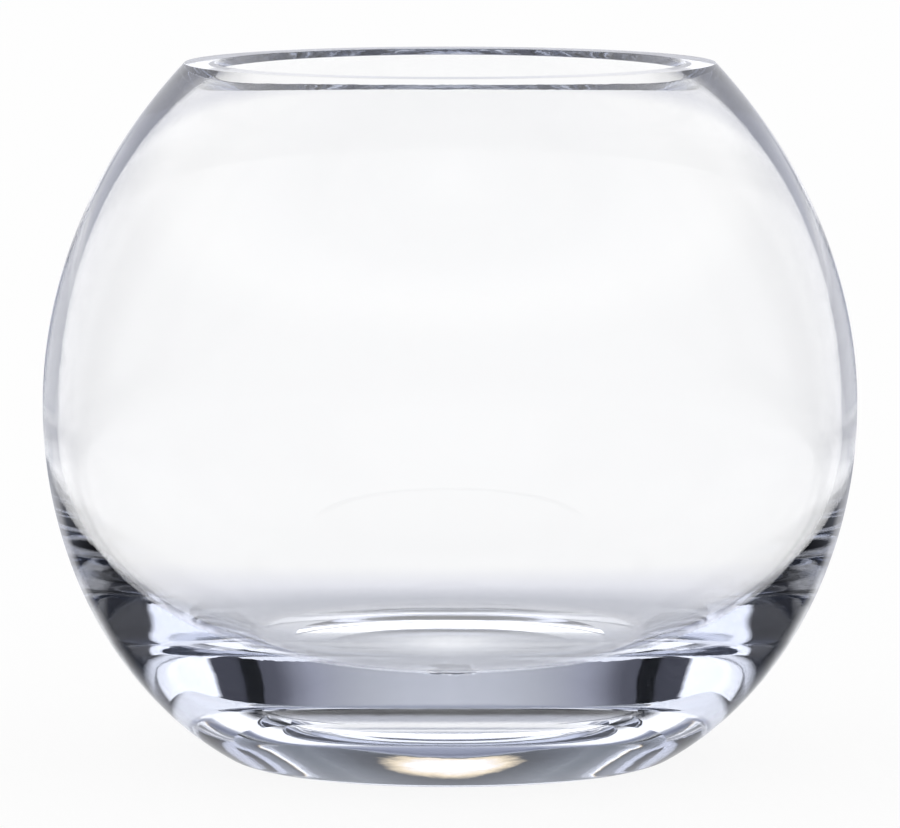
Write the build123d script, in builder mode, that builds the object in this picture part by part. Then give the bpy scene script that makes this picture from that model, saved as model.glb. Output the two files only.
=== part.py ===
from build123d import *
import math
import os

# Rose bowl vase in millimetres, standing on z = 0 with its axis on +Z.
# The bowl is one piece of clear glass blown into a mould: thin round walls, a heavy heel
# that carries the weight low, a rim ground flat, and a shallow kick-up under the foot.

# Driving dimensions
BELLY_DIAMETER = 160.0
BELLY_HEIGHT = 69.7
BOWL_HEIGHT = 137.0
MOUTH_DIAMETER = 93.0
RIM_WIDTH = 5.8
FOOT_DIAMETER = 85.6
FOOT_RING_WIDTH = 9.8
BELLY_WALL = 3.0
BASE_GLASS = 6.5
KICK_UP_DEPTH = 3.0

# Roundness of the curves: the level semi-axis of the shoulder's and of the heel's ellipse,
# the plain upright stretch of the inner wall just under the belly, and how full the curve
# of the floor is, where 0.707 is an ellipse and 1 a parabola
SHOULDER_SEMI_AXIS = 140.0
HEEL_SEMI_AXIS = 62.0
INNER_UPRIGHT = 3.1
FLOOR_FULLNESS = 0.9

# Bevel that takes the sharp edge off both sides of the ground rim
RIM_BEVEL_WIDTH = 0.5
RIM_BEVEL_HEIGHT = 0.3

# Radii and levels that follow from the driving dimensions
belly_radius = BELLY_DIAMETER / 2
mouth_radius = MOUTH_DIAMETER / 2
rim_radius = mouth_radius + RIM_WIDTH
bevel_level = BOWL_HEIGHT - RIM_BEVEL_HEIGHT
foot_radius = FOOT_DIAMETER / 2
kick_up_radius = foot_radius - FOOT_RING_WIDTH
inner_radius = belly_radius - BELLY_WALL
inner_turn_level = BELLY_HEIGHT - INNER_UPRIGHT
floor_level = KICK_UP_DEPTH + BASE_GLASS


def elliptical_wall(widest_radius, level_semi_axis, end_radius, end_level):
    """Elliptical curve that leaves the widest radius upright, at the belly, and ends as given.

    It is drawn as a conic: its two ends, the point where their tangents cross, and a weight."""
    centre_radius = widest_radius - level_semi_axis
    end_angle = math.acos((end_radius - centre_radius) / level_semi_axis)
    half_angle = end_angle / 2
    climb_to_tangents = (end_level - BELLY_HEIGHT) * math.tan(half_angle) / math.sin(end_angle)
    Bezier(
        (widest_radius, BELLY_HEIGHT),
        (widest_radius, BELLY_HEIGHT + climb_to_tangents),
        (end_radius, end_level),
        weights=(1, math.cos(half_angle), 1),
    )


# Glass bowl: half its section, turned once about the axis
with BuildPart() as glass_bowl:
    with BuildSketch(Plane.XZ):
        with BuildLine():
            # Underside: the kick-up leaves the axis level and comes down to the foot ring
            TangentArc((0, KICK_UP_DEPTH), (kick_up_radius, 0), tangent=(1, 0))
            Line((kick_up_radius, 0), (foot_radius, 0))
            # Outside: the heel below the belly and the shoulder above it
            elliptical_wall(belly_radius, HEEL_SEMI_AXIS, foot_radius, 0)
            elliptical_wall(belly_radius, SHOULDER_SEMI_AXIS, rim_radius, bevel_level)
            # Rim: ground flat between its two bevels
            Polyline(
                (rim_radius, bevel_level),
                (rim_radius - RIM_BEVEL_WIDTH, BOWL_HEIGHT),
                (mouth_radius + RIM_BEVEL_WIDTH, BOWL_HEIGHT),
                (mouth_radius, bevel_level),
            )
            # Inside: the shoulder, a short upright stretch, then the full round floor
            elliptical_wall(inner_radius, inner_radius, mouth_radius, bevel_level)
            Line((inner_radius, BELLY_HEIGHT), (inner_radius, inner_turn_level))
            Bezier(
                (inner_radius, inner_turn_level),
                (inner_radius, floor_level),
                (0, floor_level),
                weights=(1, FLOOR_FULLNESS, 1),
            )
            # Axis: closes the section through the middle of the base
            Line((0, floor_level), (0, KICK_UP_DEPTH))
        make_face()
    revolve(axis=Axis.Z)

glass_bowl.part.label = "glass_bowl"

os.makedirs("parts", exist_ok=True)
export_step(glass_bowl.part, "parts/glass_bowl.step")
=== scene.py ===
import bpy
import math
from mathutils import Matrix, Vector


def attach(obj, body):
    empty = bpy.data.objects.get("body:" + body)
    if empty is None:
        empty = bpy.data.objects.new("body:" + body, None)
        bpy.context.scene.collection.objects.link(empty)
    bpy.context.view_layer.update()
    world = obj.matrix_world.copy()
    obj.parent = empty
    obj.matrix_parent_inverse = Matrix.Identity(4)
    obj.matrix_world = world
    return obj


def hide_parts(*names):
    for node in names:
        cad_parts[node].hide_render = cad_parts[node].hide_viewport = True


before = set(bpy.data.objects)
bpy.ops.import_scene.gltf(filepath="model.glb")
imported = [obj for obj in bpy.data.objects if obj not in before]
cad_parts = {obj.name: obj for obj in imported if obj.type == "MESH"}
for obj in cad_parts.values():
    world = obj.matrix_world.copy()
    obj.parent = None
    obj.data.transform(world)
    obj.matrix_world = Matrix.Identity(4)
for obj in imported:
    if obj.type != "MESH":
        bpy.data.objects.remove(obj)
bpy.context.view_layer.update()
scene = bpy.context.scene
scene.view_settings.view_transform = "Standard"

# Camera: stands a long step in front of the bowl, a little above its rim, and looks down at the
# belly through a long lens, the way glassware is photographed so that its rim stays a thin ellipse.
camera_place = Vector((0, -1.5, 0.22788))
camera_target = Vector((0, 0, 0.06774))
camera_data = bpy.data.cameras.new("camera")
camera_data.sensor_fit = "HORIZONTAL"
camera_data.sensor_width = 36.0
camera_data.lens = 306.8
camera = bpy.data.objects.new("camera", camera_data)
camera.location = camera_place
camera.rotation_euler = (camera_target - camera_place).to_track_quat("-Z", "Y").to_euler()
scene.collection.objects.link(camera)
scene.camera = camera

# Glass bowl: the whole vase, one piece of clear glass blown into a mould, with thin round walls,
# a thick heel, a rim ground flat and a shallow kick-up under the foot. Half its section is a run
# of conic curves, and a lathe made of nodes turns each of them once about the axis.
mm = 0.001
belly_radius = 80.0 * mm
belly_level = 69.7 * mm
bowl_height = 137.0 * mm
mouth_radius = 46.5 * mm
rim_radius = 52.3 * mm
foot_radius = 42.8 * mm
kick_up_radius = 33.0 * mm
kick_up_depth = 3.0 * mm
foot_round_level = 1.0 * mm
inner_radius = 77.0 * mm
inner_turn_level = 66.3 * mm
floor_level = 14.1 * mm
flat_radius = 34.0 * mm
flat_rise = 1.1 * mm
side_fullness = 0.738
shoulder_semi_axis = 140.0 * mm
heel_semi_axis = 62.0 * mm
rim_edge_width = 0.5 * mm
rim_edge_drop = 0.3 * mm
rim_edge_level = bowl_height - rim_edge_drop
lathe_steps = 257
weld_distance = 0.003 * mm
ripple_depth = 0.05 * mm
ripple_size = 22.0 * mm
ripple_seed = 4.0
smooth_limit = math.radians(8)


def elliptical_wall(widest_radius, level_semi_axis, end_radius, end_level):
    """Where the end tangents of a wall's ellipse cross, and the weight that makes it a conic."""
    end_angle = math.acos((end_radius - widest_radius + level_semi_axis) / level_semi_axis)
    climb = (end_level - belly_level) * math.tan(end_angle / 2) / math.sin(end_angle)
    return Vector((widest_radius, 0, belly_level + climb)), math.cos(end_angle / 2)


def run_on(crossing, end, level):
    """Where the straight line from a crossing through a stretch's end reaches a level."""
    return end + (end - crossing) * (level - end.z) / (end.z - crossing.z)


crown = Vector((0, 0, kick_up_depth))
kick_up_edge = Vector((kick_up_radius, 0, 0))
heel_centre = belly_radius - heel_semi_axis
heel_upright = belly_level / math.sin(math.acos((foot_radius - heel_centre) / heel_semi_axis))
heel_turn = math.asin((belly_level - foot_round_level) / heel_upright)
heel_start = Vector((heel_centre + heel_semi_axis * math.cos(heel_turn), 0, foot_round_level))
heel_slope = math.atan2(heel_upright * math.cos(heel_turn), heel_semi_axis * math.sin(heel_turn))
foot_crossing = heel_start - Vector((foot_round_level / math.tan(heel_slope), 0, foot_round_level))
foot_edge = foot_crossing - Vector((foot_round_level / math.sin(heel_slope), 0, 0))
belly = Vector((belly_radius, 0, belly_level))
rim_outside = Vector((rim_radius, 0, rim_edge_level))
rim_top_outside = Vector((rim_radius - rim_edge_width, 0, bowl_height))
rim_top_inside = Vector((mouth_radius + rim_edge_width, 0, bowl_height))
rim_inside = Vector((mouth_radius, 0, rim_edge_level))
inner_belly = Vector((inner_radius, 0, belly_level))
inner_turn = Vector((inner_radius, 0, inner_turn_level))
floor_centre = Vector((0, 0, floor_level))
flat_edge = Vector((flat_radius, 0, floor_level + flat_rise))
flat_crossing = Vector((flat_radius / 2, 0, floor_level))
kick_up_half_angle = math.atan2(kick_up_depth, kick_up_radius)
kick_up_bend = kick_up_radius / (2 * math.cos(kick_up_half_angle) ** 2)
kick_up_crossing = Vector((kick_up_bend, 0, kick_up_depth))
heel_crossing, heel_weight = elliptical_wall(
    belly_radius, heel_semi_axis, heel_start.x, heel_start.z
)
shoulder_crossing, shoulder_weight = elliptical_wall(
    belly_radius, shoulder_semi_axis, rim_radius, rim_edge_level
)
inner_crossing, inner_weight = elliptical_wall(inner_radius, inner_radius, mouth_radius, rim_edge_level)
rim_outside_crossing = run_on(shoulder_crossing, rim_outside, bowl_height)
rim_inside_crossing = run_on(inner_crossing, rim_inside, bowl_height)
side_crossing = flat_edge + (flat_edge - flat_crossing) * (inner_radius - flat_radius) / (flat_radius / 2)
edge_weight = 12.0
straight = 1.0
# Each stretch: its name, the crossing of its tangents, its end, its weight, its rows of points,
# and its share of the ripple that blowing leaves inside, which grows towards the base
section = [
    ("Kick-up", kick_up_crossing, kick_up_edge, math.cos(kick_up_half_angle), 16, 0),
    ("Foot ring", (kick_up_edge + foot_edge) / 2, foot_edge, straight, 4, 0),
    ("Foot edge", foot_crossing, heel_start, math.cos(heel_slope / 2), 12, 0),
    ("Heel", heel_crossing, belly, heel_weight, 70, 0),
    ("Shoulder", shoulder_crossing, rim_outside, shoulder_weight, 60, 0),
    ("Rim outer edge", rim_outside_crossing, rim_top_outside, edge_weight, 10, 0),
    ("Rim", (rim_top_outside + rim_top_inside) / 2, rim_top_inside, straight, 6, 0),
    ("Rim inner edge", rim_inside_crossing, rim_inside, edge_weight, 12, 0),
    ("Inner shoulder", inner_crossing, inner_belly, inner_weight, 60, 0.3),
    ("Inner upright", (inner_belly + inner_turn) / 2, inner_turn, straight, 5, 0.6),
    ("Inner side", side_crossing, flat_edge, side_fullness, 80, 1),
    ("Floor", flat_crossing, floor_centre, straight, 24, 1),
]


def add_node(tree, kind, inputs=None, **settings):
    """Add a node with its settings, and give its inputs values or other nodes' outputs."""
    node = tree.nodes.new(kind)
    for name, value in settings.items():
        setattr(node, name, value)
    for socket, value in (inputs or {}).items():
        if isinstance(value, bpy.types.Node):
            value = value.outputs[0]
        if isinstance(value, bpy.types.NodeSocket):
            tree.links.new(value, node.inputs[socket])
        else:
            node.inputs[socket].default_value = value
    return node


# One stretch of the section, turned: a grid whose rows follow the conic and whose columns go round
turned = bpy.data.node_groups.new("turned_stretch", "GeometryNodeTree")
for name, kind in (
    ("Start", "NodeSocketVector"),
    ("Crossing", "NodeSocketVector"),
    ("End", "NodeSocketVector"),
    ("Weight", "NodeSocketFloat"),
    ("Rows", "NodeSocketInt"),
    ("Steps", "NodeSocketInt"),
    ("Ripple", "NodeSocketFloat"),
):
    turned.interface.new_socket(name, in_out="INPUT", socket_type=kind)
turned.interface.new_socket("Strip", in_out="OUTPUT", socket_type="NodeSocketGeometry")
sizes = add_node(turned, "NodeGroupInput").outputs
grid = add_node(
    turned,
    "GeometryNodeMeshGrid",
    {"Size X": 1.0, "Size Y": 1.0, "Vertices X": sizes["Rows"], "Vertices Y": sizes["Steps"]},
)
on_grid = add_node(turned, "ShaderNodeSeparateXYZ", {0: add_node(turned, "GeometryNodeInputPosition")})
along = add_node(turned, "ShaderNodeMath", {0: on_grid.outputs["X"], 1: 0.5}, operation="ADD")
left = add_node(turned, "ShaderNodeMath", {0: 1.0, 1: along}, operation="SUBTRACT")
angle = add_node(
    turned,
    "ShaderNodeMath",
    {0: on_grid.outputs["Y"], 1: -math.tau, 2: -math.pi},
    operation="MULTIPLY_ADD",
)
start_share = add_node(turned, "ShaderNodeMath", {0: left, 1: left}, operation="MULTIPLY")
end_share = add_node(turned, "ShaderNodeMath", {0: along, 1: along}, operation="MULTIPLY")
between = add_node(turned, "ShaderNodeMath", {0: along, 1: left}, operation="MULTIPLY")
doubled = add_node(turned, "ShaderNodeMath", {0: between, 1: 2.0}, operation="MULTIPLY")
crossing_share = add_node(turned, "ShaderNodeMath", {0: doubled, 1: sizes["Weight"]}, operation="MULTIPLY")
ends_share = add_node(turned, "ShaderNodeMath", {0: start_share, 1: end_share}, operation="ADD")
all_shares = add_node(turned, "ShaderNodeMath", {0: ends_share, 1: crossing_share}, operation="ADD")
from_start = add_node(
    turned, "ShaderNodeVectorMath", {0: sizes["Start"], "Scale": start_share}, operation="SCALE"
)
from_crossing = add_node(
    turned, "ShaderNodeVectorMath", {0: sizes["Crossing"], "Scale": crossing_share}, operation="SCALE"
)
from_end = add_node(
    turned, "ShaderNodeVectorMath", {0: sizes["End"], "Scale": end_share}, operation="SCALE"
)
from_ends = add_node(turned, "ShaderNodeVectorMath", {0: from_start, 1: from_end}, operation="ADD")
from_all = add_node(turned, "ShaderNodeVectorMath", {0: from_ends, 1: from_crossing}, operation="ADD")
one_share = add_node(turned, "ShaderNodeMath", {0: 1.0, 1: all_shares}, operation="DIVIDE")
on_section = add_node(turned, "ShaderNodeVectorMath", {0: from_all, "Scale": one_share}, operation="SCALE")
round_axis = add_node(
    turned, "ShaderNodeVectorRotate", {"Vector": on_section, "Angle": angle}, rotation_type="Z_AXIS"
)
strip = add_node(turned, "GeometryNodeSetPosition", {"Geometry": grid, "Position": round_axis})
marked = add_node(
    turned,
    "GeometryNodeStoreNamedAttribute",
    {"Geometry": strip, "Name": "ripple", "Value": sizes["Ripple"]},
    data_type="FLOAT",
    domain="POINT",
)
add_node(turned, "NodeGroupOutput", {0: marked})

# The lathe: all stretches end to end, welded, and the inside rippled a little
lathe = bpy.data.node_groups.new("bowl_lathe", "GeometryNodeTree")
lathe_values = {
    "Crown": ("NodeSocketVector", crown),
    "Steps round": ("NodeSocketInt", lathe_steps),
    "Ripple depth": ("NodeSocketFloat", ripple_depth),
    "Ripple size": ("NodeSocketFloat", ripple_size),
    "Ripple seed": ("NodeSocketFloat", ripple_seed),
}
for name, crossing, end, weight, rows, ripple in section:
    lathe_values[name + " crossing"] = ("NodeSocketVector", crossing)
    lathe_values[name + " end"] = ("NodeSocketVector", end)
    lathe_values[name + " weight"] = ("NodeSocketFloat", weight)
    lathe_values[name + " rows"] = ("NodeSocketInt", rows)
lathe_sockets = {
    name: lathe.interface.new_socket(name, in_out="INPUT", socket_type=kind).identifier
    for name, (kind, value) in lathe_values.items()
}
lathe.interface.new_socket("Bowl", in_out="OUTPUT", socket_type="NodeSocketGeometry")
sizes = add_node(lathe, "NodeGroupInput").outputs
joined = add_node(lathe, "GeometryNodeJoinGeometry")
start = sizes["Crown"]
for name, crossing, end, weight, rows, ripple in section:
    strip = add_node(lathe, "GeometryNodeGroup", node_tree=turned)
    lathe.links.new(start, strip.inputs["Start"])
    lathe.links.new(sizes[name + " crossing"], strip.inputs["Crossing"])
    lathe.links.new(sizes[name + " end"], strip.inputs["End"])
    lathe.links.new(sizes[name + " weight"], strip.inputs["Weight"])
    lathe.links.new(sizes[name + " rows"], strip.inputs["Rows"])
    lathe.links.new(sizes["Steps round"], strip.inputs["Steps"])
    strip.inputs["Ripple"].default_value = ripple
    lathe.links.new(strip.outputs[0], joined.inputs[0])
    start = sizes[name + " end"]
welded = add_node(lathe, "GeometryNodeMergeByDistance", {"Geometry": joined, "Distance": weld_distance})
waves = add_node(
    lathe,
    "ShaderNodeTexNoise",
    {
        "Vector": add_node(lathe, "GeometryNodeInputPosition"),
        "W": sizes["Ripple seed"],
        "Scale": add_node(lathe, "ShaderNodeMath", {0: 1.0, 1: sizes["Ripple size"]}, operation="DIVIDE"),
        "Detail": 1.0,
    },
    noise_dimensions="4D",
)
swing = add_node(lathe, "ShaderNodeMath", {0: waves, 1: 0.5}, operation="SUBTRACT")
swing_depth = add_node(lathe, "ShaderNodeMath", {0: swing, 1: sizes["Ripple depth"]}, operation="MULTIPLY")
inside_only = add_node(
    lathe,
    "ShaderNodeMath",
    {
        0: swing_depth,
        1: add_node(lathe, "GeometryNodeInputNamedAttribute", {"Name": "ripple"}, data_type="FLOAT"),
    },
    operation="MULTIPLY",
)
ripple_offset = add_node(
    lathe,
    "ShaderNodeVectorMath",
    {0: add_node(lathe, "GeometryNodeInputNormal"), "Scale": inside_only},
    operation="SCALE",
)
rippled = add_node(lathe, "GeometryNodeSetPosition", {"Geometry": welded, "Offset": ripple_offset})
smooth = add_node(lathe, "GeometryNodeSetShadeSmooth", {"Geometry": rippled, "Shade Smooth": True})
sharp = add_node(
    lathe,
    "FunctionNodeCompare",
    {0: add_node(lathe, "GeometryNodeInputMeshEdgeAngle"), 1: smooth_limit},
    operation="GREATER_THAN",
)
creased = add_node(
    lathe,
    "GeometryNodeSetShadeSmooth",
    {"Geometry": smooth, "Selection": sharp, "Shade Smooth": False},
    domain="EDGE",
)


def linear(hex_colour):
    """A colour written as an sRGB hex value, as linear red, green, blue and alpha."""
    shares = [int(hex_colour[k : k + 2], 16) / 255 for k in (1, 3, 5)]
    return tuple(s / 12.92 if s <= 0.04045 else ((s + 0.055) / 1.055) ** 2.4 for s in shares) + (1.0,)


# Clear soda-lime glass, blown and fire-polished: colourless and mirror-smooth, with a cool grey
# where the light goes a long way through it, and the faint waviness that blowing leaves
glass = bpy.data.materials.new("clear_blown_soda_lime_glass")
glass.use_nodes = True
tree = glass.node_tree
tree.nodes.clear()
object_place = add_node(tree, "ShaderNodeTexCoord").outputs["Object"]
wave_size = 3.5 * mm
wave_depth = 0.003 * mm
wave_low = 0.3
wave_high = 0.7
smoothest = 0.0
roughest = 0.003
glass_ior = 1.52
depth_tint = "#C9CDD8"
depth_density = 13.0
wave = add_node(
    tree, "ShaderNodeTexNoise", {"Vector": object_place, "Scale": 1 / wave_size, "Detail": 2.0}
)
wave_bump = add_node(tree, "ShaderNodeBump", {"Height": wave, "Distance": wave_depth, "Strength": 1.0})
polish = add_node(
    tree,
    "ShaderNodeMapRange",
    {
        "Value": wave,
        "From Min": wave_low,
        "From Max": wave_high,
        "To Min": smoothest,
        "To Max": roughest,
    },
)
surface = add_node(
    tree,
    "ShaderNodeBsdfPrincipled",
    {
        "Base Color": linear("#FFFFFF"),
        "Roughness": polish,
        "IOR": glass_ior,
        "Transmission Weight": 1.0,
        "Normal": wave_bump,
    },
)
depth = add_node(
    tree, "ShaderNodeVolumeAbsorption", {"Color": linear(depth_tint), "Density": depth_density}
)
add_node(tree, "ShaderNodeOutputMaterial", {"Surface": surface, "Volume": depth})
whole = add_node(lathe, "GeometryNodeRealizeInstances", {"Geometry": creased})
finished = add_node(lathe, "GeometryNodeSetMaterial", {"Geometry": whole, "Material": glass})
add_node(lathe, "NodeGroupOutput", {0: finished})

bowl = bpy.data.objects.new("blown_bowl", bpy.data.meshes.new("blown_bowl"))
scene.collection.objects.link(bowl)
turning = bowl.modifiers.new("bowl_lathe", "NODES")
turning.node_group = lathe
for name, (kind, value) in lathe_values.items():
    turning[lathe_sockets[name]] = value
bowl_mesh = bpy.data.meshes.new_from_object(bowl.evaluated_get(bpy.context.evaluated_depsgraph_get()))
bowl.modifiers.remove(turning)
bowl.data = bowl_mesh
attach(bowl, "root")
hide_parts("glass_bowl")

# Floor: a plain white sheet that the bowl stands on and that runs out of view on every side. It
# shows white, with the bowl's soft shadow on it. What the glass mirrors of it is painted darker, a
# painted shade as on a studio table whose far parts and sides stay unlit, with painted light and
# reflections.
floor_reach = 6.0
air_gap = 0.02 * mm
paper_white = "#F4F4F4"
sheet_glow = 0.9
# The floor's painted glow: brighter than white for rays straight through the base and for rays sent round
# inside the glass, and dimmer for rays trapped long
base_gain = 1.3
sent_round_gain = 2.0
trapped_from = 14
trapped_to = 24
trapped_share = 0.6
# Painted reflection tones that the glass shows of the floor, and a painted shade for its unlit sides
outer_mirror = "#E7E8EE"
edge_mirror = "#868A98"
inner_mirror = "#7C7F8C"
unlit_side = "#2C2E33"
# Bearings are counted in half turns
degree = 1 / 180


def set_tones(ramp, tones, unit=1.0):
    """Give a colour ramp's stops their tones and their places, which are written in a unit."""
    while len(ramp.color_ramp.elements) < len(tones):
        ramp.color_ramp.elements.new(1.0)
    for stop, (place, colour) in zip(ramp.color_ramp.elements, tones):
        stop.position = place * unit
        stop.color = linear(colour)


def sort_rays(tree):
    """Nodes that say how a ray came: bent by glass, mirrored once, or sent round inside the glass."""
    ray = add_node(tree, "ShaderNodeLightPath").outputs
    turns = ray["Glossy Depth"]
    faces = ray["Transmission Depth"]
    bent = add_node(
        tree, "ShaderNodeMath", {0: ray["Is Glossy Ray"], 1: ray["Is Transmission Ray"]}, operation="MAXIMUM"
    )
    once = add_node(tree, "ShaderNodeMath", {0: turns, 1: 1.0, 2: 0.5}, operation="COMPARE")
    outside = add_node(tree, "ShaderNodeMath", {0: faces, 1: 0.5}, operation="LESS_THAN")
    through_wall = add_node(tree, "ShaderNodeMath", {0: faces, 1: 2.5}, operation="LESS_THAN")
    mirrored = add_node(tree, "ShaderNodeMath", {0: once, 1: through_wall}, operation="MULTIPLY")
    sent_round = add_node(tree, "ShaderNodeMath", {0: turns, 1: 1.5}, operation="GREATER_THAN")
    # Light that was trapped in the glass for long comes out dimmer, as a painted shade
    trapped = add_node(
        tree,
        "ShaderNodeMapRange",
        {
            "Value": turns,
            "From Min": trapped_from,
            "From Max": trapped_to,
            "To Min": 1.0,
            "To Max": trapped_share,
        },
    )
    return ray, bent, once, outside, mirrored, sent_round, trapped


def find_bearing(tree, place):
    """Nodes that part a place into its axes, and give its bearing from straight behind in half turns."""
    parts = add_node(tree, "ShaderNodeSeparateXYZ", {0: place}).outputs
    aside = add_node(tree, "ShaderNodeMath", {0: parts["X"]}, operation="ABSOLUTE")
    bearing = add_node(tree, "ShaderNodeMath", {0: aside, 1: parts["Y"]}, operation="ARCTAN2")
    half_turns = add_node(tree, "ShaderNodeMath", {0: bearing, 1: math.pi}, operation="DIVIDE")
    return parts, aside, half_turns


floor_mesh = bpy.data.meshes.new("floor")
floor_mesh.from_pydata(
    [(x * floor_reach, y * floor_reach, -air_gap) for x, y in ((-1, -1), (1, -1), (1, 1), (-1, 1))],
    [],
    [(0, 1, 2, 3)],
)
floor = bpy.data.objects.new("floor", floor_mesh)
scene.collection.objects.link(floor)
# Matt white paper, rolled smooth: an even white that the eye sees no grain in. Over it the
# material paints the light, shade and reflections that the glass shows of the floor.
sheet = bpy.data.materials.new("white_paper_with_painted_light_and_shade")
sheet.use_nodes = True
tree = sheet.node_tree
tree.nodes.clear()
ray, bent, once, outside, mirrored, sent_round, trapped = sort_rays(tree)
sheet_place = add_node(tree, "ShaderNodeTexCoord").outputs["Object"]
from_axis = add_node(tree, "ShaderNodeVectorMath", {0: sheet_place}, operation="LENGTH").outputs["Value"]
on_sheet, aside, half_turns = find_bearing(tree, sheet_place)

# Painted reflection: the outside of the heel mirrors a painted dark of its own overhang, and behind
# the bowl a painted lit sheet with a slanting, soft edge on each side. Tones are by reach from the axis, in
# millimetres.
lit_edge_slant = 1.75
lit_edge_from = 64 * mm
lit_edge_to = 129 * mm
mirror_end = 0.6
along_mirror = add_node(tree, "ShaderNodeMath", {0: from_axis, 1: mirror_end}, operation="DIVIDE")
overhang_tones = [
    (0, "#141517"),
    (80, "#202226"),
    (170, "#33353B"),
    (270, "#8A8E9A"),
    (390, outer_mirror),
]
overhang = add_node(tree, "ShaderNodeValToRGB", {0: along_mirror})
set_tones(overhang, overhang_tones, mm / mirror_end)
behind_tones = [
    (0, "#F6F7FA"),
    (150, "#F6F7FA"),
    (230, "#DEDFE6"),
    (380, "#D4D6DE"),
    (440, "#BCBFC9"),
    (470, "#BCBFC9"),
    (560, outer_mirror),
]
behind = add_node(tree, "ShaderNodeValToRGB", {0: along_mirror})
set_tones(behind, behind_tones, mm / mirror_end)
slanted = add_node(tree, "ShaderNodeMath", {0: aside, 1: lit_edge_slant}, operation="MULTIPLY")
past_edge = add_node(tree, "ShaderNodeMath", {0: slanted, 1: on_sheet["Y"]}, operation="SUBTRACT")
aside_share = add_node(
    tree,
    "ShaderNodeMapRange",
    {"Value": past_edge, "From Min": lit_edge_from, "From Max": lit_edge_to},
)
near_sheet = add_node(tree, "ShaderNodeMix", {0: aside_share, 6: behind, 7: overhang}, data_type="RGBA")

# Far off, the sheet is painted grey between a painted lit strip straight behind and its painted light
# sides, and that painted reflection draws the bowl's outline
far_from = 0.58
far_to = 0.72
lit_strip_from = 11 * degree
lit_strip_to = 14 * degree
light_side_from = 36 * degree
light_side_to = 42 * degree
light_side = add_node(
    tree,
    "ShaderNodeMapRange",
    {"Value": half_turns, "From Min": light_side_from, "From Max": light_side_to},
)
lit_strip = add_node(
    tree,
    "ShaderNodeMapRange",
    {
        "Value": half_turns,
        "From Min": lit_strip_from,
        "From Max": lit_strip_to,
        "To Min": 1.0,
        "To Max": 0.0,
    },
)
off_grey = add_node(tree, "ShaderNodeMath", {0: light_side, 1: lit_strip}, operation="MAXIMUM")
far_sheet = add_node(
    tree,
    "ShaderNodeMix",
    {0: off_grey, 6: linear(edge_mirror), 7: linear(outer_mirror)},
    data_type="RGBA",
)
far_off = add_node(
    tree, "ShaderNodeMapRange", {"Value": from_axis, "From Min": far_from, "From Max": far_to}
)
outside_sheet = add_node(
    tree,
    "ShaderNodeMix",
    {0: far_off, 6: near_sheet.outputs[2], 7: far_sheet.outputs[2]},
    data_type="RGBA",
)

# Inside the glass, the walls' edges mirror a sheet painted to grey far off. Under the foot, painted
# thin rings of light, a little uneven, stand for the light the base gathers, and show where the heel mirrors
# them.
wobble_size = 2.5 * mm
wobble_width = 1.6 * mm
mirrored_tones = [
    (0, "#A6ABBA"),
    (19, "#A6ABBA"),
    (21.5, "#868CA2"),
    (23, "#868CA2"),
    (24, "#FFFFFF"),
    (26, "#FFFFFF"),
    (27, "#787B86"),
    (28.5, "#B4B9C6"),
    (30, "#FFFFFF"),
    (33, "#FFFFFF"),
    (34, "#B0B2BC"),
    (39, "#A6A9B4"),
    (39.8, "#0C0C0E"),
    (43, "#0C0C0E"),
    (44.5, "#FFFFFF"),
    (200, "#FFFFFF"),
    (500, inner_mirror),
]
wobble = add_node(
    tree, "ShaderNodeTexNoise", {"Vector": sheet_place, "Scale": 1 / wobble_size, "Detail": 2.0}
)
wobble_reach = add_node(
    tree, "ShaderNodeMath", {0: wobble, 1: wobble_width, 2: -wobble_width / 2}, operation="MULTIPLY_ADD"
)
wobbled = add_node(tree, "ShaderNodeMath", {0: from_axis, 1: wobble_reach}, operation="ADD")
along_rings = add_node(tree, "ShaderNodeMath", {0: wobbled, 1: mirror_end}, operation="DIVIDE")
mirrored_sheet = add_node(tree, "ShaderNodeValToRGB", {0: along_rings})
set_tones(mirrored_sheet, mirrored_tones, mm / mirror_end)

# At both sides the sheet has a painted shade, unlit for the light that goes round inside the heel.
# Tones are by bearing from straight behind, in degrees.
side_tones = [(62, "#FFFFFF"), (74, unlit_side), (104, unlit_side), (118, "#F0F0F0")]
near_sides = add_node(tree, "ShaderNodeValToRGB", {0: half_turns})
set_tones(near_sides, side_tones, degree)

# Seen straight through the base, painted gathered light is brightest in the middle of the foot, and
# the sheet has a painted shade where the heel overhangs it
plain_end = 0.11
plain_tones = [
    (0, "#D6D8DD"),
    (5, "#CFD1D6"),
    (11, "#B6B9C1"),
    (20, "#A0A3AC"),
    (34, "#A0A3AC"),
    (43, "#A8AAB2"),
    (48, "#9EA1AB"),
    (58, "#A6A9B3"),
    (78, "#D2D3DA"),
    (110, "#E6E6E6"),
]
along_plain = add_node(tree, "ShaderNodeMath", {0: wobbled, 1: plain_end}, operation="DIVIDE")
plain_sheet = add_node(tree, "ShaderNodeValToRGB", {0: along_plain})
set_tones(plain_sheet, plain_tones, mm / plain_end)

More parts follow.
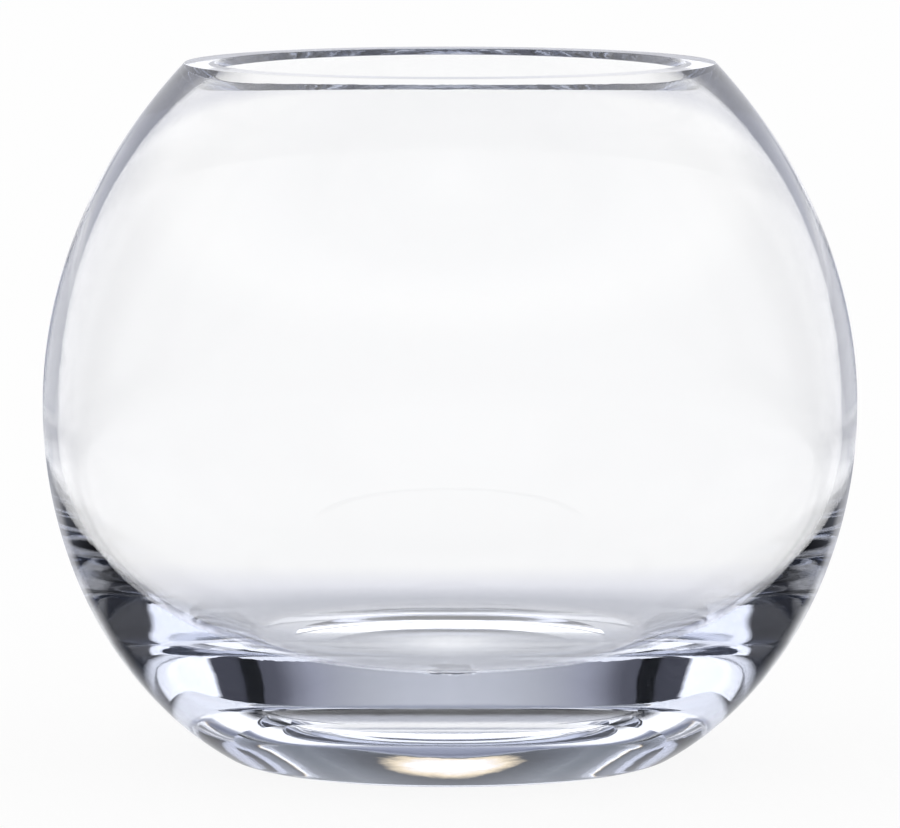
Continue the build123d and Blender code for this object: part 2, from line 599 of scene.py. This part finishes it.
# Each kind of ray gets its own painted tone. The sheet glows for rays from the glass, as painted
# light, and in part for the camera, so that the rest of what the camera sees is paper with a shadow on it.
plain_tone = add_node(
    tree, "ShaderNodeMix", {0: bent, 6: linear("#FFFFFF"), 7: plain_sheet}, data_type="RGBA"
)
with_rings = add_node(
    tree, "ShaderNodeMix", {0: mirrored, 6: plain_tone.outputs[2], 7: mirrored_sheet}, data_type="RGBA"
)
mirrored_outside = add_node(tree, "ShaderNodeMath", {0: once, 1: outside}, operation="MULTIPLY")
with_outside = add_node(
    tree,
    "ShaderNodeMix",
    {0: mirrored_outside, 6: with_rings.outputs[2], 7: outside_sheet.outputs[2]},
    data_type="RGBA",
)
tone = add_node(
    tree, "ShaderNodeMix", {0: sent_round, 6: with_outside.outputs[2], 7: near_sides}, data_type="RGBA"
)
unturned = add_node(tree, "ShaderNodeMath", {0: ray["Glossy Depth"], 1: 0.5}, operation="LESS_THAN")
straight_through = add_node(tree, "ShaderNodeMath", {0: unturned, 1: bent}, operation="MULTIPLY")
plain_gain = add_node(
    tree, "ShaderNodeMath", {0: straight_through, 1: base_gain - 1, 2: trapped}, operation="MULTIPLY_ADD"
)
gain = add_node(
    tree, "ShaderNodeMath", {0: sent_round, 1: sent_round_gain - 1, 2: plain_gain}, operation="MULTIPLY_ADD"
)
glow = add_node(tree, "ShaderNodeEmission", {"Color": tone.outputs[2], "Strength": gain})
glow_seen = add_node(tree, "ShaderNodeMath", {0: ray["Is Camera Ray"], 1: sheet_glow}, operation="MULTIPLY")
glow_share = add_node(tree, "ShaderNodeMath", {0: glow_seen, 1: bent}, operation="MAXIMUM")
paper = add_node(tree, "ShaderNodeBsdfDiffuse", {"Color": linear(paper_white)})
shown = add_node(tree, "ShaderNodeMixShader", {0: glow_share, 1: paper, 2: glow})
add_node(tree, "ShaderNodeOutputMaterial", {"Surface": shown})
floor_mesh.materials.append(sheet)

# Studio: a white surround for the camera. What the glass shows of it is painted by how each ray came
# through the glass: a painted lavender grey above the backdrop's top, a painted soft light on each side and
# painted dark gaps before and behind it, after the usual way to light clear glass so that its edges draw
# themselves dark on a white ground. The plain view through the walls stays white.
# Strength of the painted soft light, which only rays sent round inside the glass see
painted_soft_light_strength = 2.65


def height(degrees):
    """How high a direction points, for its elevation in degrees above the floor."""
    return math.sin(math.radians(degrees))


surround = bpy.data.worlds.new("white_surround_with_painted_reflections")
surround.use_nodes = True
scene.world = surround
tree = surround.node_tree
tree.nodes.clear()
ray, bent, once, outside, mirrored, sent_round, trapped = sort_rays(tree)
direction = add_node(tree, "ShaderNodeTexCoord").outputs["Generated"]
toward, _, half_turns = find_bearing(tree, direction)
turns = ray["Glossy Depth"]

# The plain view through the walls, a painted reflection of grey above the backdrop that only the glass
# shows, with tones by elevation in degrees
sky_tones = [(6, "#FFFFFF"), (10, "#D8D9E2"), (30, "#C4C6D2"), (60, "#D8D8E0"), (80, "#F0F0F2")]
sky = add_node(tree, "ShaderNodeValToRGB", {0: toward["Z"]})
set_tones(sky, [(height(degrees), colour) for degrees, colour in sky_tones])
unmirrored = add_node(tree, "ShaderNodeMath", {0: bent, 1: once}, operation="SUBTRACT", use_clamp=True)
plain_view = add_node(
    tree, "ShaderNodeMix", {0: unmirrored, 6: linear("#FFFFFF"), 7: sky}, data_type="RGBA"
)

# What the walls mirror once, a painted reflection. Outside it is grey low over the floor, between the
# lit strip straight behind and the light sides, and light elsewhere. Inside it is grey. Both fade out higher
# up.
low_grey_from = height(1.5)
low_grey_to = height(4.2)
sky_side_from = 33 * degree
sky_side_to = 38 * degree
fade_from = height(16)
fade_to = height(30)
fade_share = 0.2
light_side = add_node(
    tree, "ShaderNodeMapRange", {"Value": half_turns, "From Min": sky_side_from, "From Max": sky_side_to}
)
lit_strip = add_node(
    tree,
    "ShaderNodeMapRange",
    {
        "Value": half_turns,
        "From Min": lit_strip_from,
        "From Max": lit_strip_to,
        "To Min": 1.0,
        "To Max": 0.0,
    },
)
above = add_node(
    tree, "ShaderNodeMapRange", {"Value": toward["Z"], "From Min": low_grey_from, "From Max": low_grey_to}
)
light_across = add_node(tree, "ShaderNodeMath", {0: light_side, 1: lit_strip}, operation="MAXIMUM")
off_grey = add_node(tree, "ShaderNodeMath", {0: light_across, 1: above}, operation="MAXIMUM")
outer_tone = add_node(
    tree,
    "ShaderNodeMix",
    {0: off_grey, 6: linear(edge_mirror), 7: linear(outer_mirror)},
    data_type="RGBA",
)
mirror_tone = add_node(
    tree,
    "ShaderNodeMix",
    {0: outside, 6: linear(inner_mirror), 7: outer_tone.outputs[2]},
    data_type="RGBA",
)
fade = add_node(
    tree,
    "ShaderNodeMapRange",
    {
        "Value": toward["Z"],
        "From Min": fade_from,
        "From Max": fade_to,
        "To Min": 1.0,
        "To Max": fade_share,
    },
    interpolation_type="SMOOTHSTEP",
)
mirror_share = add_node(tree, "ShaderNodeMath", {0: mirrored, 1: fade}, operation="MULTIPLY")
plain_or_mirrored = add_node(
    tree,
    "ShaderNodeMix",
    {0: mirror_share, 6: plain_view.outputs[2], 7: mirror_tone.outputs[2]},
    data_type="RGBA",
)

# Painted reflections for the light that goes round inside the heel, with tones by bearing in degrees
# from straight behind. The painted soft lights are white, with painted black strips behind them, and
# overhead is grey.
overhead_from = height(24)
overhead_to = height(32)
overhead_grey = "#C8CAD2"
round_tones = [
    (0, "#B3B3B3"),
    (8, "#B1B1B1"),
    (15, "#A8A8A8"),
    (20, "#9D9D9F"),
    (25, "#909096"),
    (29, "#76767C"),
    (31, "#606066"),
    (33, "#4E4E54"),
    (36, "#4A4A50"),
    (36.4, "#010102"),
    (40.4, "#010102"),
    (40.9, "#38383E"),
    (47.4, "#38383E"),
    (48.4, "#FFFFFF"),
    (78, "#FFFFFF"),
    (81, "#2A2A2C"),
    (103, "#2A2A2C"),
    (112, "#A29F98"),
    (125, "#B3AFA6"),
]
painted_round_reflection = add_node(tree, "ShaderNodeValToRGB", {0: half_turns})
set_tones(painted_round_reflection, round_tones, degree)
overhead = add_node(
    tree,
    "ShaderNodeMapRange",
    {"Value": toward["Z"], "From Min": overhead_from, "From Max": overhead_to},
    interpolation_type="SMOOTHSTEP",
)
painted_studio_reflection = add_node(
    tree,
    "ShaderNodeMix",
    {0: overhead, 6: painted_round_reflection, 7: linear(overhead_grey)},
    data_type="RGBA",
)

# Turned twice, it shows a painted reflection: the backdrop's white with a painted dark strip along its foot
low_tones = [(3, "#3C3E44"), (5.4, "#3C3E44"), (6.2, "#FFFFFF")]
over_low = add_node(tree, "ShaderNodeValToRGB", {0: toward["Z"]})
set_tones(over_low, [(height(degrees), colour) for degrees, colour in low_tones])
twice = add_node(tree, "ShaderNodeMath", {0: turns, 1: 2.0, 2: 0.5}, operation="COMPARE")
with_low = add_node(
    tree, "ShaderNodeMix", {0: twice, 6: painted_studio_reflection.outputs[2], 7: over_low}, data_type="RGBA"
)

# Turned four to six times and from high up, it shows a painted highlight: a lit panel with a warm edge
# under slate grey, which makes the bright form at the bottom of the base
top_from = height(20.5)
top_to = height(21.5)
top_tones = [
    (20, "#FFFFFF"),
    (27.3, "#FFFFFF"),
    (28.5, "#E6D2AE"),
    (29.7, "#3E4044"),
    (33, "#54575C"),
    (40, "#6C7074"),
    (50, "#64686C"),
]
over_top = add_node(tree, "ShaderNodeValToRGB", {0: toward["Z"]})
set_tones(over_top, [(height(degrees), colour) for degrees, colour in top_tones])
four_to_six = add_node(tree, "ShaderNodeMath", {0: turns, 1: 5.0, 2: 1.5}, operation="COMPARE")
top_reached = add_node(
    tree, "ShaderNodeMapRange", {"Value": toward["Z"], "From Min": top_from, "From Max": top_to}
)
top_share = add_node(tree, "ShaderNodeMath", {0: four_to_six, 1: top_reached}, operation="MULTIPLY")
with_top = add_node(
    tree, "ShaderNodeMix", {0: top_share, 6: with_low.outputs[2], 7: over_top}, data_type="RGBA"
)

# Turned five times, what is straight behind shows a painted black, as a painted dark line under the heel's
# middle band
black_from = 12 * degree
black_to = 20 * degree
line_black = "#0C0C0E"
five = add_node(tree, "ShaderNodeMath", {0: turns, 1: 5.0, 2: 0.5}, operation="COMPARE")
straight_behind = add_node(
    tree,
    "ShaderNodeMapRange",
    {"Value": half_turns, "From Min": black_from, "From Max": black_to, "To Min": 1.0, "To Max": 0.0},
)
line_share = add_node(tree, "ShaderNodeMath", {0: five, 1: straight_behind}, operation="MULTIPLY")
with_line = add_node(
    tree,
    "ShaderNodeMix",
    {0: line_share, 6: with_top.outputs[2], 7: linear(line_black)},
    data_type="RGBA",
)

# Turned thrice, over the foot, it shows a painted reflection of the slate grey above the backdrop
foot_tones = [(0, "#B3B3B3"), (4, "#8C909E"), (12, "#5C6070"), (24, "#6A6E7E"), (40, "#A0A2AC")]
over_foot = add_node(tree, "ShaderNodeValToRGB", {0: toward["Z"]})
set_tones(over_foot, [(height(degrees), colour) for degrees, colour in foot_tones])
thrice = add_node(tree, "ShaderNodeMath", {0: turns, 1: 3.0, 2: 0.5}, operation="COMPARE")
in_heel = add_node(
    tree, "ShaderNodeMix", {0: thrice, 6: with_line.outputs[2], 7: over_foot}, data_type="RGBA"
)
colour_seen = add_node(
    tree,
    "ShaderNodeMix",
    {0: sent_round, 6: plain_or_mirrored.outputs[2], 7: in_heel.outputs[2]},
    data_type="RGBA",
)

# The painted light that goes round is strong. What goes a long way round the rim and leaves upward is
# dimmed the most, a painted shade that darkens the rim's two ends.
long_way_from = 9.5
long_way_to = 11.5
upward_from = height(9)
upward_to = height(13)
rim_end_share = 0.3
strong = add_node(tree, "ShaderNodeMath", {0: trapped, 1: painted_soft_light_strength}, operation="MULTIPLY")
long_way = add_node(
    tree, "ShaderNodeMapRange", {"Value": turns, "From Min": long_way_from, "From Max": long_way_to}
)
upward = add_node(
    tree, "ShaderNodeMapRange", {"Value": toward["Z"], "From Min": upward_from, "From Max": upward_to}
)
long_upward = add_node(tree, "ShaderNodeMath", {0: long_way, 1: upward}, operation="MULTIPLY")
rim_end_strength = painted_soft_light_strength * trapped_share * rim_end_share
dimmed = add_node(tree, "ShaderNodeMix", {0: long_upward, 2: strong, 3: rim_end_strength})
strength_seen = add_node(tree, "ShaderNodeMix", {0: sent_round, 2: 1.0, 3: dimmed})
light = add_node(
    tree, "ShaderNodeBackground", {"Color": colour_seen.outputs[2], "Strength": strength_seen}
)
add_node(tree, "ShaderNodeOutputWorld", {"Surface": light})

# Glass sends light on many times before it leaves, so the paths may be long
longest_path = 64
scene.cycles.max_bounces = longest_path
scene.cycles.glossy_bounces = longest_path
scene.cycles.transmission_bounces = longest_path
